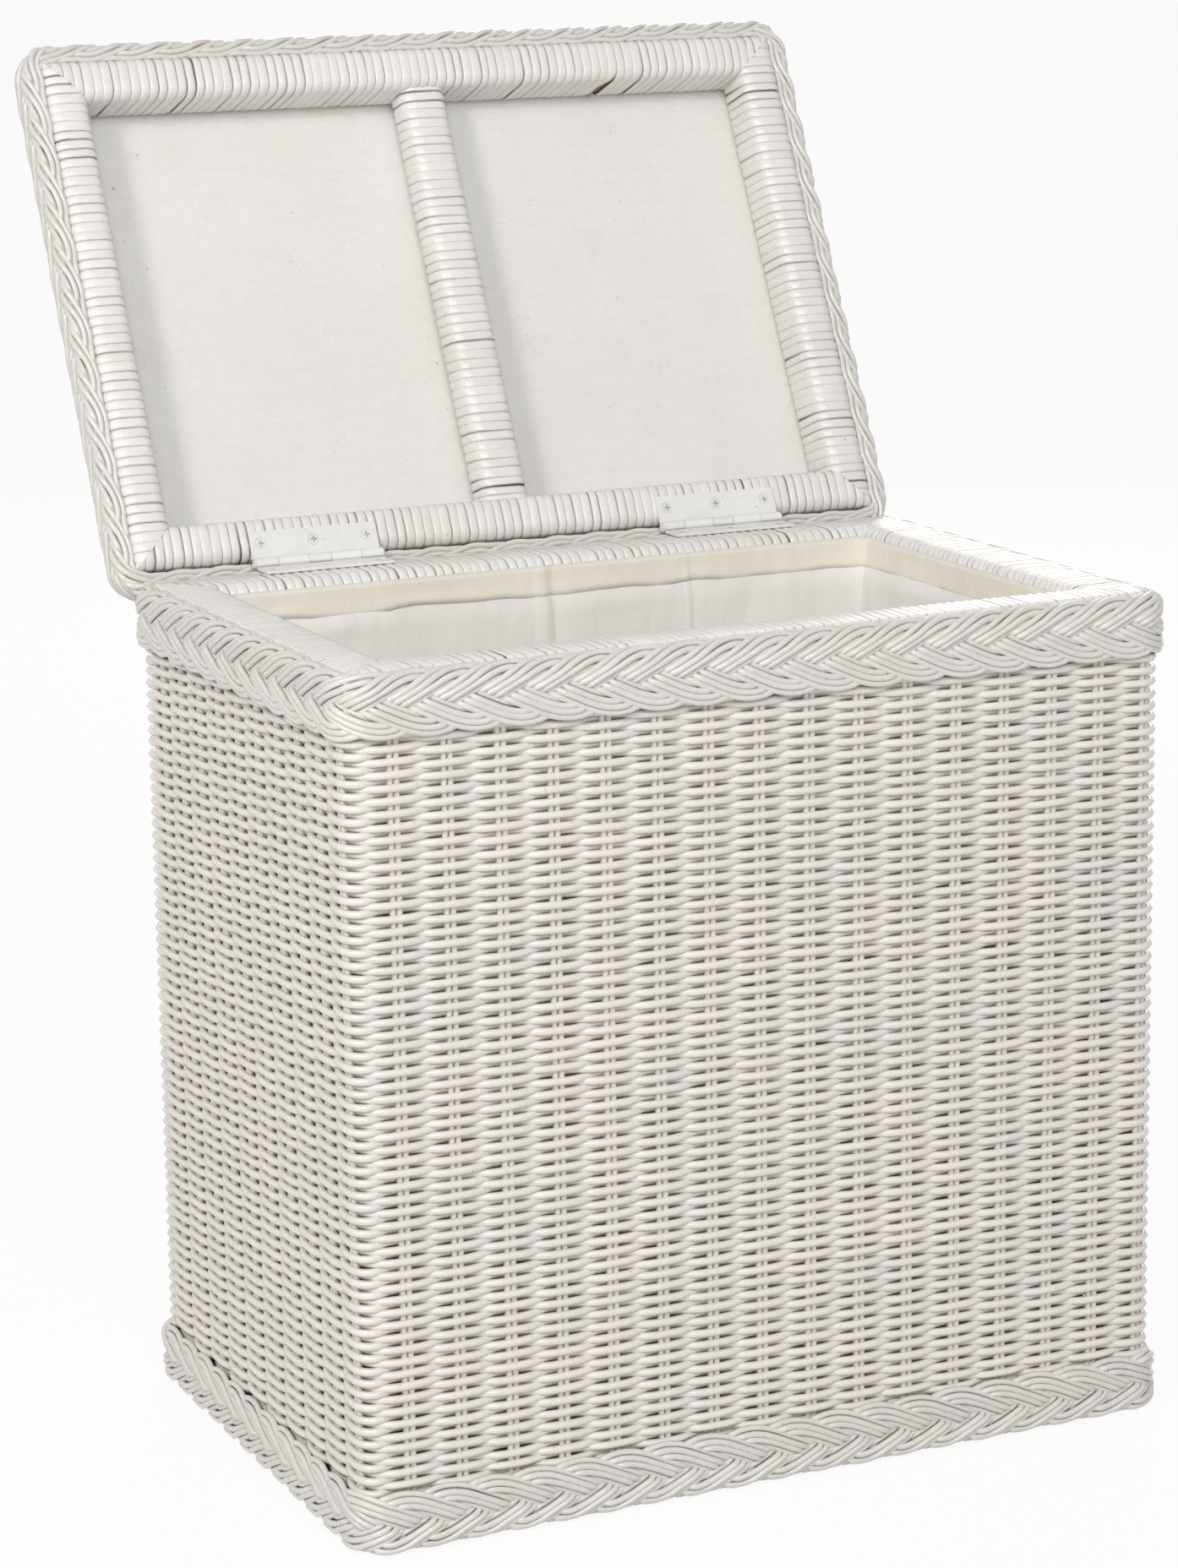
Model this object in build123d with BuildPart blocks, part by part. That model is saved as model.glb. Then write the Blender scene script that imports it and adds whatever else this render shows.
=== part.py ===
import math
import os

from build123d import *

os.makedirs("parts", exist_ok=True)

# Woven walls, in millimetres: the width runs along X, the depth along Y, and the front faces -Y
basket_width = 620.0
basket_depth = 400.0
rim_height = 600.0  # floor to the top of the rim's rails
wall_thickness = 12.0
wall_corner_radius = 18.0

# The rods of the walls swell out over upright stakes and fall back between them
stake_count = 52  # all round
stake_start = 18.7  # first stake, from the left end of the front's straight stretch
hollow_width = 26.0
hollow_depth = 3.5

# Plait round the foot, which the basket stands on
base_braid_height = 45.0
base_braid_proud = 6.0  # beyond the walls
base_braid_corner_radius = 27.0
base_braid_rounding = 8.0
base_braid_foot_rounding = 3.0

# Wooden bottom and corner posts
base_rail_width = 24.0
base_rail_height = 30.0
base_rail_lift = 6.0  # off the floor
base_rail_edge_radius = 2.0
base_panel_thickness = 6.0
base_panel_clearance = 0.5
post_side = 24.0
post_edge_radius = 7.0
post_clearance = 0.5

# Rim: rails wound with cane, and a plait over their outer edge
rim_rail_width = 44.0
rim_rail_height = 34.0
rim_rail_inset = 4.0  # outer face of the rails, inside the outer face of the walls
rim_braid_proud = 6.0  # beyond the walls
rim_braid_corner_radius = 27.0
rim_braid_rounding = 10.0
rim_braid_under_rounding = 4.0
rim_braid_lip_width = 12.0  # part of the plait that lies on the rails
rim_braid_lip_thickness = 2.0

# Cane wound round the rails of the rim and of the lid
cane_thickness = 2.0
cane_edge_radius = 9.0
cane_fit = 0.1

# Cotton liner with a folded hem
cloth_thickness = 1.5
hem_thickness = 3.0
hem_height = 24.0
hem_drop = 5.0  # top of the hem, below the top of the rails
liner_fit = 0.4

# Lid: a frame of wound rails, a plywood panel, a woven top and a plait round the edge
lid_side_overhang = 4.0  # the lid's plait, beyond the rim's plait
lid_front_inset = 7.4  # front rail's face, inside the front of the rim's plait
lid_rail_width = 32.0
lid_rail_height = 43.0
middle_rail_width = 36.0
middle_rail_height = 32.0
middle_rail_setback = 7.0  # its underside, above the underside of the other rails
lid_panel_thickness = 4.0
lid_panel_clearance = 0.5
lid_panel_corner_radius = 4.0
lid_weave_thickness = 8.0
lid_weave_skirt = 6.0  # the woven top's sides, beyond the rails
lid_weave_edge_radius = 10.0
lid_weave_corner_radius = 16.0
lid_braid_proud = 16.0  # beyond the rails
lid_braid_back_proud = 19.0
lid_braid_lift = 2.0  # above the underside of the rails
lid_braid_height = 34.0
lid_braid_corner_radius = 26.0
lid_braid_rounding = 9.0
lid_braid_top_rounding = 14.0

# Butt hinges: three knuckles on the lid leaf, two between them on the rim leaf
hinge_length = 100.0
hinge_end_margin = 88.5  # from the end of a hinge to the end of the lid's frame
leaf_thickness = 2.0
leaf_reach = 25.0  # from the pin's axis to the leaf's free edge
knuckle_radius = 4.0
lid_knuckle_length = 17.2
knuckle_gap = 0.3
knuckle_clearance = 0.6  # between a leaf's edge and the other leaf's knuckles
hinge_inset = 1.6  # pin's axis, inside the outer face of the rim's plait
hinge_setback = 5.0  # pin's axis to the lid's back rail
pin_radius = 2.2
pin_running_fit = 0.05
pin_head_radius = 3.2
pin_head_thickness = 1.0

# Countersunk screws of the hinges
screw_spacing = 41.7
screw_reach = 15.75  # from the pin's axis
screw_length = 17.0
screw_shank_radius = 1.75
screw_head_radius = 4.3
screw_head_height = 1.7
screw_head_sink = 0.3  # below the face of the leaf
screw_mouth_radius = 4.65  # of the countersink in the leaf
screw_tip_height = 4.0
screw_recess_length = 4.4
screw_recess_width = 0.9
screw_recess_depth = 0.7
screw_hole_fit = 0.3
screw_pilot_fit = 0.05

# Room left between the lid's plait and the rim's plait where the open lid comes to rest
lid_stop_clearance = 0.6

# Heights and faces that follow from the sizes above
sides = {"front": 0, "right": 90, "back": 180, "left": 270}
wall_top = rim_height - rim_rail_height
wall_bend = math.pi / 2 * (wall_corner_radius - wall_thickness / 2)
front_run = basket_width - 2 * wall_corner_radius
side_run = basket_depth - 2 * wall_corner_radius
stake_pitch = 2 * (front_run + side_run + 2 * wall_bend) / stake_count
hollow_radius = ((hollow_width / 2) ** 2 + hollow_depth**2) / (2 * hollow_depth)
inner_width = basket_width - 2 * wall_thickness
inner_depth = basket_depth - 2 * wall_thickness
base_top = base_rail_lift + base_rail_height
floor_top = base_top + base_panel_thickness
rim_frame_width = basket_width - 2 * rim_rail_inset
rim_frame_depth = basket_depth - 2 * rim_rail_inset
mouth_width = rim_frame_width - 2 * rim_rail_width
mouth_depth = rim_frame_depth - 2 * rim_rail_width
rim_top = rim_height + rim_braid_lip_thickness
rim_outer_width = basket_width + 2 * rim_braid_proud
rim_outer_depth = basket_depth + 2 * rim_braid_proud
lid_width = rim_outer_width + 2 * lid_side_overhang - 2 * lid_braid_proud
lid_depth = rim_outer_depth - hinge_inset - hinge_setback - lid_front_inset
hinge_spacing = lid_width - 2 * hinge_end_margin - hinge_length  # between the hinges' middles
leaf_lift = knuckle_radius - leaf_thickness / 2
bore_radius = pin_radius + pin_running_fit
rim_knuckle_length = (hinge_length - 3 * lid_knuckle_length) / 2
lid_top_of_rails = knuckle_radius + lid_rail_height
lid_braid_bottom = knuckle_radius + lid_braid_lift
lid_braid_top = lid_braid_bottom + lid_braid_height
lid_weave_bottom = lid_top_of_rails + lid_panel_thickness

# The open lid leans back until the lower corner of its plait meets the back of the rim's plait
stop_y = lid_braid_back_proud - hinge_setback - lid_braid_rounding
stop_z = lid_braid_bottom + lid_braid_rounding
stop_distance = hinge_inset + lid_stop_clearance + lid_braid_rounding
lid_open_angle = math.atan2(stop_z, stop_y) + math.acos(stop_distance / math.hypot(stop_y, stop_z))

# Frames: each has X to the right, Y to the back and Z up when the lid is shut
basket_frame = Plane.XY
axis_point = Vector(0, rim_outer_depth / 2 - hinge_inset, rim_top + knuckle_radius)
lid_axis_frame = Plane(
    axis_point, x_dir=(1, 0, 0), z_dir=(0, math.sin(lid_open_angle), math.cos(lid_open_angle))
)
lid_frame = Plane(
    lid_axis_frame.from_local_coords((0, -hinge_setback - lid_depth / 2, 0)),
    x_dir=lid_axis_frame.x_dir,
    z_dir=lid_axis_frame.z_dir,
)
rim_leaf_frame = Plane(axis_point, x_dir=(-1, 0, 0), z_dir=(0, 0, -1))
hinge_middles = {"left": -hinge_spacing / 2, "right": hinge_spacing / 2}
screw_places = [
    (middle + step, -screw_reach)
    for middle in hinge_middles.values()
    for step in (-screw_spacing, 0, screw_spacing)
]


def save(piece, name):
    piece.label = name
    export_step(piece, f"parts/{name}.step")


def side_sizes(side, width, depth):
    return (width, depth) if side in ("front", "back") else (depth, width)


# A frame turned about its own Z, so that the named side lies where the front was
def turned(frame, side):
    angle = math.radians(sides[side])
    along = frame.x_dir * math.cos(angle) + frame.y_dir * math.sin(angle)
    return Plane(frame.origin, x_dir=along, z_dir=frame.z_dir)


# A bar along one side of a frame, with both ends cut to the corner's mitre.
# The section is drawn with X inwards and Y upwards from the bar's lower outer edge.
def mitred_bar(frame, side, width, depth, rise, draw_section):
    length, across = side_sizes(side, width, depth)
    plane = turned(frame, side)
    section = Plane(
        plane.from_local_coords((0, -across / 2, rise)), x_dir=plane.y_dir, z_dir=plane.x_dir
    )
    with BuildPart() as bar:
        with BuildSketch(section):
            draw_section()
        extrude(amount=length / 2, both=True)
        for end in (-1, 1):
            corner = plane.from_local_coords((end * length / 2, -across / 2, 0))
            mitre = Plane(corner, z_dir=plane.x_dir * end + plane.y_dir)
            split(bisect_by=mitre, keep=Keep.BOTTOM)
    return bar.part


def draw_cane(width, height):
    with Locations((width / 2, height / 2)):
        RectangleRounded(width, height, cane_edge_radius)
        RectangleRounded(
            width - 2 * cane_thickness,
            height - 2 * cane_thickness,
            cane_edge_radius - cane_thickness,
            mode=Mode.SUBTRACT,
        )


def draw_core(width, height):
    cover = cane_thickness + cane_fit
    with Locations((width / 2, height / 2)):
        RectangleRounded(width - 2 * cover, height - 2 * cover, cane_edge_radius - cover)


def draw_base_rail():
    with Locations((base_rail_width / 2, base_rail_height / 2)):
        RectangleRounded(base_rail_width, base_rail_height, base_rail_edge_radius)


def draw_liner_wall():
    height = rim_height - hem_drop - floor_top
    Rectangle(cloth_thickness, height, align=Align.MIN)
    with Locations((0, height - hem_height)):
        Rectangle(hem_thickness, hem_height, align=Align.MIN)


# Pilot holes for the screws of both hinges, drilled down from a height of a frame
def drill_pilots(frame, height, depth):
    for x, y in screw_places:
        mouth = Plane(
            frame.from_local_coords((x, y, height)), x_dir=frame.x_dir, z_dir=frame.z_dir * -1
        )
        with Locations(mouth):
            Hole(screw_shank_radius + screw_pilot_fit, depth)


def base_braid():
    with BuildPart() as braid:
        with BuildSketch():
            RectangleRounded(
                basket_width + 2 * base_braid_proud,
                basket_depth + 2 * base_braid_proud,
                base_braid_corner_radius,
            )
        extrude(amount=base_braid_height)
        fillet(braid.edges().group_by(Axis.Z)[-1], base_braid_rounding)
        fillet(braid.edges().group_by(Axis.Z)[0], base_braid_foot_rounding)
        with BuildSketch():
            Rectangle(inner_width, inner_depth)
        extrude(amount=base_braid_height, mode=Mode.SUBTRACT)
    return braid.part


def base_panel():
    with BuildPart() as panel:
        with BuildSketch(Plane.XY.offset(base_top)):
            Rectangle(inner_width - 2 * base_panel_clearance, inner_depth - 2 * base_panel_clearance)
            with GridLocations(inner_width, inner_depth, 2, 2):
                Rectangle(
                    2 * (post_side + post_clearance),
                    2 * (post_side + post_clearance),
                    mode=Mode.SUBTRACT,
                )
        extrude(amount=base_panel_thickness)
    return panel.part


def corner_post(end_x, end_y):
    with BuildPart() as post:
        with BuildSketch(Plane.XY.offset(base_top)):
            with Locations((end_x * (inner_width - post_side) / 2, end_y * (inner_depth - post_side) / 2)):
                RectangleRounded(post_side, post_side, post_edge_radius)
        extrude(amount=wall_top - base_top)
    return post.part


# Middles of the hollows between the stakes of one wall, from the middle of that wall
def hollow_places(side):
    run, walked = (front_run, 0) if side in ("front", "back") else (side_run, front_run + wall_bend)
    steps = [stake_start + (stake + 0.5) * stake_pitch - walked for stake in range(stake_count)]
    return [step - run / 2 for step in steps if hollow_width / 2 < step < run - hollow_width / 2]


# One woven wall, with half of each rounded corner
def wall(side):
    length, across = side_sizes(side, basket_width, basket_depth)
    bend_x = length / 2 - wall_corner_radius
    bend_y = across / 2 - wall_corner_radius
    with BuildPart() as woven:
        with BuildSketch(turned(basket_frame, side).offset(base_braid_height)):
            RectangleRounded(length, across, wall_corner_radius)
            RectangleRounded(
                length - 2 * wall_thickness,
                across - 2 * wall_thickness,
                wall_corner_radius - wall_thickness,
                mode=Mode.SUBTRACT,
            )
            Polygon(
                (-bend_x, -bend_y),
                (-bend_x - across, -bend_y - across),
                (bend_x + across, -bend_y - across),
                (bend_x, -bend_y),
                align=None,
                mode=Mode.INTERSECT,
            )
        extrude(amount=wall_top - base_braid_height)
        with BuildSketch(turned(basket_frame, side).offset(base_braid_height)):
            with Locations([(x, -across / 2 - hollow_radius + hollow_depth) for x in hollow_places(side)]):
                Circle(hollow_radius)
        extrude(amount=wall_top - base_braid_height, mode=Mode.SUBTRACT)
    return woven.part


def rim_braid():
    with BuildPart() as braid:
        with BuildSketch(Plane.XY.offset(wall_top)):
            RectangleRounded(rim_outer_width, rim_outer_depth, rim_braid_corner_radius)
        extrude(amount=rim_top - wall_top)
        fillet(braid.edges().group_by(Axis.Z)[-1], rim_braid_rounding)
        fillet(braid.edges().group_by(Axis.Z)[0], rim_braid_under_rounding)
        with BuildSketch(Plane.XY.offset(wall_top)):
            Rectangle(rim_frame_width, rim_frame_depth)
        extrude(amount=rim_rail_height, mode=Mode.SUBTRACT)
        with BuildSketch(Plane.XY.offset(rim_height)):
            Rectangle(rim_frame_width - 2 * rim_braid_lip_width, rim_frame_depth - 2 * rim_braid_lip_width)
        extrude(amount=rim_braid_lip_thickness, mode=Mode.SUBTRACT)
        drill_pilots(rim_leaf_frame, knuckle_radius, rim_braid_lip_thickness)
    return braid.part


def liner_bottom():
    with BuildPart() as bottom:
        with BuildSketch(Plane.XY.offset(floor_top)):
            inset = 2 * (liner_fit + cloth_thickness)
            Rectangle(mouth_width - inset, mouth_depth - inset)
        extrude(amount=cloth_thickness)
    return bottom.part


def middle_bar(draw_section):
    length = lid_depth - 2 * lid_rail_width
    section = Plane(
        lid_frame.from_local_coords(
            (-middle_rail_width / 2, length / 2, knuckle_radius + middle_rail_setback)
        ),
        x_dir=lid_frame.x_dir,
        z_dir=lid_frame.y_dir * -1,
    )
    with BuildPart() as bar:
        with BuildSketch(section):
            draw_section(middle_rail_width, middle_rail_height)
        extrude(amount=length)
    return bar.part


def lid_panel():
    with BuildPart() as panel:
        with BuildSketch(lid_frame.offset(lid_top_of_rails)):
            RectangleRounded(
                lid_width - 2 * lid_panel_clearance,
                lid_depth - 2 * lid_panel_clearance,
                lid_panel_corner_radius,
            )
        extrude(amount=lid_panel_thickness)
    return panel.part


# The woven top lies on the panel and comes down round the frame to the plait
def lid_weave():
    with BuildPart() as woven:
        with BuildSketch(lid_frame.offset(lid_braid_top)):
            RectangleRounded(
                lid_width + 2 * lid_weave_skirt, lid_depth + 2 * lid_weave_skirt, lid_weave_corner_radius
            )
        extrude(amount=lid_weave_bottom + lid_weave_thickness - lid_braid_top)
        upwards = Axis(lid_frame.origin, lid_frame.z_dir)
        fillet(woven.edges().group_by(upwards)[-1], lid_weave_edge_radius)
        with BuildSketch(lid_frame.offset(lid_braid_top)):
            Rectangle(lid_width, lid_depth)
        extrude(amount=lid_weave_bottom - lid_braid_top, mode=Mode.SUBTRACT)
    return woven.part


# The plait stands further out along the back, where it leans on the rim when the lid is open
def lid_braid():
    with BuildPart() as braid:
        with BuildSketch(lid_frame.offset(lid_braid_bottom)):
            with Locations((0, (lid_braid_back_proud - lid_braid_proud) / 2)):
                RectangleRounded(
                    lid_width + 2 * lid_braid_proud,
                    lid_depth + lid_braid_proud + lid_braid_back_proud,
                    lid_braid_corner_radius,
                )
        extrude(amount=lid_braid_height)
        upwards = Axis(lid_frame.origin, lid_frame.z_dir)
        fillet(braid.edges().group_by(upwards)[-1], lid_braid_top_rounding)
        fillet(braid.edges().group_by(upwards)[0], lid_braid_rounding)
        with BuildSketch(lid_frame.offset(lid_braid_bottom)):
            Rectangle(lid_width, lid_depth)
        extrude(amount=lid_braid_height, mode=Mode.SUBTRACT)
    return braid.part


# A leaf lies against its seat at the knuckle's tangent, with its screw heads on the side of the pin
def hinge_leaf(frame, middle, knuckles):
    section = Plane(
        frame.from_local_coords((middle, 0, 0)), x_dir=frame.y_dir, z_dir=frame.x_dir
    )
    plate_edge = knuckle_radius + knuckle_clearance
    with BuildPart() as leaf:
        with BuildSketch(section):
            with Locations((-(leaf_reach + plate_edge) / 2, leaf_lift)):
                Rectangle(leaf_reach - plate_edge, leaf_thickness)
        extrude(amount=hinge_length / 2, both=True)
        for start, end in knuckles:
            with BuildSketch(section.offset(start)):
                Circle(knuckle_radius)
                with Locations((-plate_edge / 2, leaf_lift)):
                    Rectangle(plate_edge, leaf_thickness)
                Circle(bore_radius, mode=Mode.SUBTRACT)
            extrude(amount=end - start)
        for step in (-screw_spacing, 0, screw_spacing):
            mouth = Plane(
                frame.from_local_coords((middle + step, -screw_reach, knuckle_radius - leaf_thickness)),
                x_dir=frame.x_dir,
                z_dir=frame.z_dir * -1,
            )
            with Locations(mouth):
                CounterSinkHole(
                    screw_shank_radius + screw_hole_fit,
                    screw_mouth_radius,
                    leaf_thickness,
                )
    return leaf.part


def lid_knuckles():
    half = hinge_length / 2
    side = lid_knuckle_length - knuckle_gap / 2
    middle = (lid_knuckle_length - knuckle_gap) / 2
    return [(-half, side - half), (-middle, middle), (half - side, half)]


def rim_knuckles():
    start = (lid_knuckle_length + knuckle_gap) / 2
    end = start + rim_knuckle_length - knuckle_gap
    return [(-end, -start), (start, end)]


def hinge_pin(middle):
    half = hinge_length / 2
    with BuildPart() as pin:
        with BuildSketch(Plane(axis_point + Vector(middle, 0, 0), x_dir=(0, 1, 0), z_dir=(1, 0, 0))):
            Circle(pin_radius)
        extrude(amount=half + pin_head_thickness, both=True)
        for end in (-1, 1):
            seat = axis_point + Vector(middle + end * (half + pin_running_fit), 0, 0)
            with BuildSketch(Plane(seat, x_dir=(0, 1, 0), z_dir=(end, 0, 0))):
                Circle(pin_head_radius)
            extrude(amount=pin_head_thickness)
    return pin.part


def hinge_screws(frame):
    with BuildPart() as screws:
        for x, y in screw_places:
            head = Plane(
                frame.from_local_coords((x, y, knuckle_radius - leaf_thickness)),
                x_dir=frame.x_dir,
                z_dir=frame.z_dir * -1,
            )
            with BuildSketch(Plane(head.origin, x_dir=head.x_dir, z_dir=head.y_dir)):
                Polygon(
                    (0, screw_head_sink),
                    (screw_head_radius, screw_head_sink),
                    (screw_shank_radius, screw_head_height),
                    (screw_shank_radius, screw_length - screw_tip_height),
                    (0, screw_length),
                    align=None,
                )
            revolve(axis=Axis(head.origin, head.z_dir))
            with BuildSketch(head.offset(-screw_head_sink)):
                Rectangle(screw_recess_length, screw_recess_width)
                Rectangle(screw_recess_width, screw_recess_length)
            extrude(amount=-screw_recess_depth, mode=Mode.SUBTRACT)
    return screws.part


save(base_braid(), "base_braid")
save(base_panel(), "base_panel")
save(rim_braid(), "rim_braid")
save(liner_bottom(), "liner_bottom")

for end_y, row in ((-1, "front"), (1, "back")):
    for end_x, column in ((-1, "left"), (1, "right")):
        save(corner_post(end_x, end_y), f"corner_post_{row}_{column}")

for side in sides:
    save(
        mitred_bar(basket_frame, side, inner_width, inner_depth, base_rail_lift, draw_base_rail),
        f"base_rail_{side}",
    )
    save(wall(side), f"wall_{side}")
    save(
        mitred_bar(
            basket_frame,
            side,
            mouth_width - 2 * liner_fit,
            mouth_depth - 2 * liner_fit,
            floor_top,
            draw_liner_wall,
        ),
        f"liner_{side}",
    )

for side in sides:
    rim_size = (rim_rail_width, rim_rail_height)
    lid_size = (lid_rail_width, lid_rail_height)
    rim_place = (basket_frame, side, rim_frame_width, rim_frame_depth, wall_top)
    lid_place = (lid_frame, side, lid_width, lid_depth, knuckle_radius)
    pieces = {
        f"top_rail_{side}": mitred_bar(*rim_place, lambda: draw_core(*rim_size)),
        f"rim_wrap_{side}": mitred_bar(*rim_place, lambda: draw_cane(*rim_size)),
        f"lid_rail_{side}": mitred_bar(*lid_place, lambda: draw_core(*lid_size)),
        f"lid_wrap_{side}": mitred_bar(*lid_place, lambda: draw_cane(*lid_size)),
    }
    for name, blank in pieces.items():
        with BuildPart() as drilled:
            add(blank)
            if side == "back" and name.startswith("lid"):
                drill_pilots(lid_axis_frame, knuckle_radius, screw_length)
            elif side == "back":
                drill_pilots(rim_leaf_frame, knuckle_radius, screw_length)
        save(drilled.part, name)

save(middle_bar(draw_core), "lid_middle_rail")
save(middle_bar(draw_cane), "lid_middle_wrap")
save(lid_panel(), "lid_panel")
save(lid_weave(), "lid_weave")
save(lid_braid(), "lid_braid")

for name, middle in hinge_middles.items():
    save(hinge_leaf(rim_leaf_frame, -middle, rim_knuckles()), f"hinge_{name}_rim_leaf")
    save(hinge_leaf(lid_axis_frame, middle, lid_knuckles()), f"hinge_{name}_lid_leaf")
    save(hinge_pin(middle), f"hinge_{name}_pin")

save(hinge_screws(rim_leaf_frame), "rim_hinge_screws")
save(hinge_screws(lid_axis_frame), "lid_hinge_screws")

print("lid opens", round(math.degrees(lid_open_angle), 2), "degrees; axis at", axis_point)
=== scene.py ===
import math
import random

import bmesh
import bpy
from mathutils import Matrix, Vector, noise


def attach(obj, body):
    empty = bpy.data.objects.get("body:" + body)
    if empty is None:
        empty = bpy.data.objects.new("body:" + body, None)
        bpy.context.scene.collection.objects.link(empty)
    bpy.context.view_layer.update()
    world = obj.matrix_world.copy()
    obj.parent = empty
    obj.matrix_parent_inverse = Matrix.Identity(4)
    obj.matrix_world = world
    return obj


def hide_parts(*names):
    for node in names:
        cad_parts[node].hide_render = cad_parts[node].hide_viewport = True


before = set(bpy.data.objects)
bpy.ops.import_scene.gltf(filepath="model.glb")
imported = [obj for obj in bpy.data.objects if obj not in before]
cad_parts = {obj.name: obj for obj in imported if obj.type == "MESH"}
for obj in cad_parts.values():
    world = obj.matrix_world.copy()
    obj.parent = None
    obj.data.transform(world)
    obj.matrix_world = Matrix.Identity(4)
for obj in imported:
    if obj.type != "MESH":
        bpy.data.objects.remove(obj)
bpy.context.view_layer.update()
scene = bpy.context.scene
print("frame loaded:", len(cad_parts), "nodes")

# the lid's pieces are made as on the shut lid, round its pin, then turned open with it
lidTurn = {"axis": (0, 0.2044, 0.606), "openBy": math.radians(116.46)}
lidPlace = Matrix.Translation(lidTurn["axis"]) @ Matrix.Rotation(-lidTurn["openBy"], 4, "X")
quarter = math.pi / 2
fullTurn = 6.28318
anyPhase = 6.28  # waves start anywhere up to here


def dropPick():
    if bpy.context.object and bpy.context.object.mode != "OBJECT":
        bpy.ops.object.mode_set(mode="OBJECT")
    bpy.ops.object.select_all(action="DESELECT")


def pickOnly(piece):
    dropPick()
    piece.select_set(True)
    bpy.context.view_layer.objects.active = piece


def pickFaces(piece, wanted):
    sketch = bmesh.from_edit_mesh(piece.data)
    for face in sketch.faces:
        face.select_set(False)
    for face in sketch.faces:
        if wanted(face):
            face.select_set(True)
    sketch.select_flush_mode()
    bmesh.update_edit_mesh(piece.data)


def pickEdges(piece, wanted):
    sketch = bmesh.from_edit_mesh(piece.data)
    for part in (*sketch.faces, *sketch.edges, *sketch.verts):
        part.select_set(False)
    for edge in sketch.edges:
        if wanted(edge):
            edge.select_set(True)
    bmesh.update_edit_mesh(piece.data)


def share(value):
    return min(max(value, 0), 1)


def smoothStep(value, low, high):
    part = share((value - low) / (high - low))
    return part * part * (3 - 2 * part)


# a ring is a rounded rectangle, walked from the left end of the front and on to the right
def ringLength(ring):
    return 2 * (ring["width"] + ring["depth"]) - 8 * ring["corner"] + 4 * quarter * ring["corner"]


def ringSpot(ring, along):
    bend = ring["corner"]
    halfWide, halfDeep = ring["width"] / 2, ring["depth"] / 2
    runWide, runDeep = halfWide - bend, halfDeep - bend
    starts = ((-runWide, -halfDeep), (halfWide, -runDeep), (runWide, halfDeep), (-halfWide, runDeep))
    centres = ((runWide, -runDeep), (runWide, runDeep), (-runWide, runDeep), (-runWide, -runDeep))
    shift = ring.get("back", 0)
    along %= ringLength(ring)
    for side in range(4):
        heading = side * quarter
        run = 2 * (runWide if side % 2 == 0 else runDeep)
        if along <= run:
            x = starts[side][0] + along * math.cos(heading)
            y = starts[side][1] + along * math.sin(heading)
            return x, y + shift, math.sin(heading), -math.cos(heading)
        along -= run
        if along <= bend * quarter:
            turn = heading - quarter + along / bend
            nx, ny = math.cos(turn), math.sin(turn)
            return centres[side][0] + bend * nx, centres[side][1] + bend * ny + shift, nx, ny
        along -= bend * quarter
    return starts[0][0], starts[0][1] + shift, 0, -1  # the very end of the ring


rodUneven = (0.95, 1.03)  # thinnest and thickest rod, against the usual one


# rods are drawn as curves and made into one mesh
def layRods(name, rods, thick, sides=6, closed=False, seed=1):
    dropPick()
    dice = random.Random(seed)
    drawn = bpy.data.curves.new(name, "CURVE")
    drawn.dimensions = "3D"
    drawn.bevel_depth = thick / 2
    drawn.bevel_resolution = (sides - 4) // 2  # four sides, and two more for each step
    drawn.use_fill_caps = not closed
    for rod in rods:
        line = drawn.splines.new("POLY")
        line.points.add(len(rod) - 1)
        line.points.foreach_set("co", [value for spot in rod for value in (*spot, 1)])
        line.points.foreach_set("radius", [dice.uniform(*rodUneven)] * len(rod))
        line.use_cyclic_u = closed
    piece = bpy.data.objects.new(name, drawn)
    scene.collection.objects.link(piece)
    pickOnly(piece)
    bpy.ops.object.convert(target="MESH")
    return bpy.context.object


# woven walls: rods go in and out of double stakes
wallWeave = {
    "ring": {"width": 0.608, "depth": 0.388, "corner": 0.012},  # middle of the wall
    "stakes": 52,
    "firstStake": 0.0187,
    "stakeThick": 0.0046,
    "stakeGap": 1.04,  # middle to middle in a pair, in thicknesses
    "stakeHigh": (0.004, 0.2, 0.4, 0.576),
    "rodThick": 0.0058,
    "rows": 122,
    "low": 0.0363,
    "high": 0.566,
    "tuckUnder": 0.0405,  # rows below this lie behind the foot's plait
    "tuckIn": 0.003,
    "swing": 0.0030,
    "drift": (0.00008, 0.00028),  # rows wander up and down by this
    "driftTurns": (3, 7, 16, 26),  # in so many waves round the basket
    "lap": 0.0016,  # rods run this far past the middle of a corner
    "perStake": 7,
    "perCorner": 6,
}


def spread(low, high, steps):
    return [low + (high - low) * step / steps for step in range(steps)]


weaveFull = 1.5  # how squarely rods go round the stakes


# rods swing in and out past the stakes
def weaveSwing(spec, stakesGone):
    beat = math.cos(math.pi * stakesGone)
    return spec["swing"] * math.tanh(weaveFull * beat) / math.tanh(weaveFull)


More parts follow.
